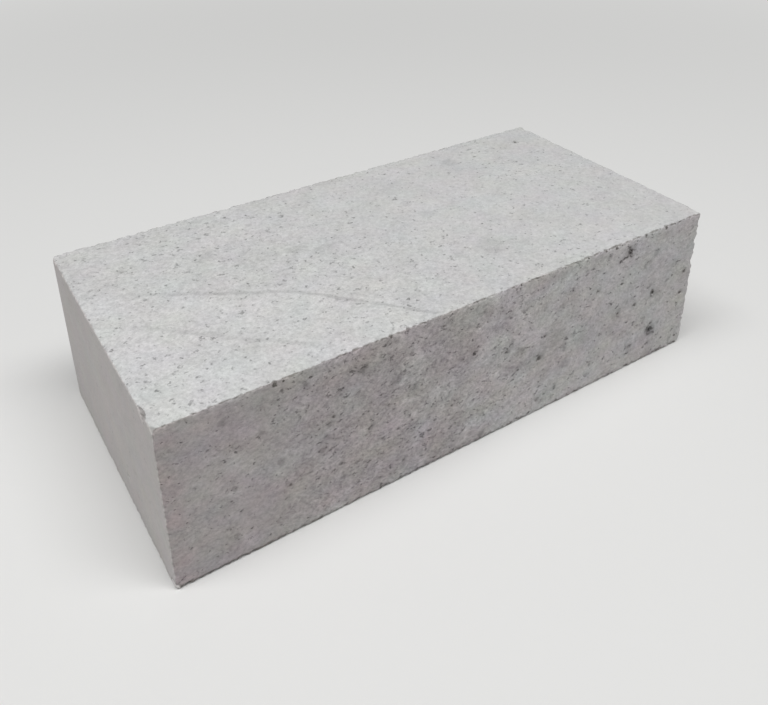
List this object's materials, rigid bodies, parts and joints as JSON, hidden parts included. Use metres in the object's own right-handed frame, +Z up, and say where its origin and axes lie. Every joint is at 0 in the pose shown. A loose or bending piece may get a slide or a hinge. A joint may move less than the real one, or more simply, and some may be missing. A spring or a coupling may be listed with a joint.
{
  "type": "partition brick",
  "caption": "Solid sand-lime brick for partition walls: a plain rectangular block with flat beds, lightly worn arrises and small blowholes in its faces.",
  "frame": {"origin": "middle of the bottom bed", "axes": "+X along the length towards the right header, +Y across the width towards the back stretcher face, +Z up from the bottom bed"},
  "size_m": [0.27, 0.13, 0.075],
  "materials": {
    "sand_lime": "matte"
  },
  "bodies": {
    "root": {"brick": "sand_lime"}
  },
  "joints": []
}
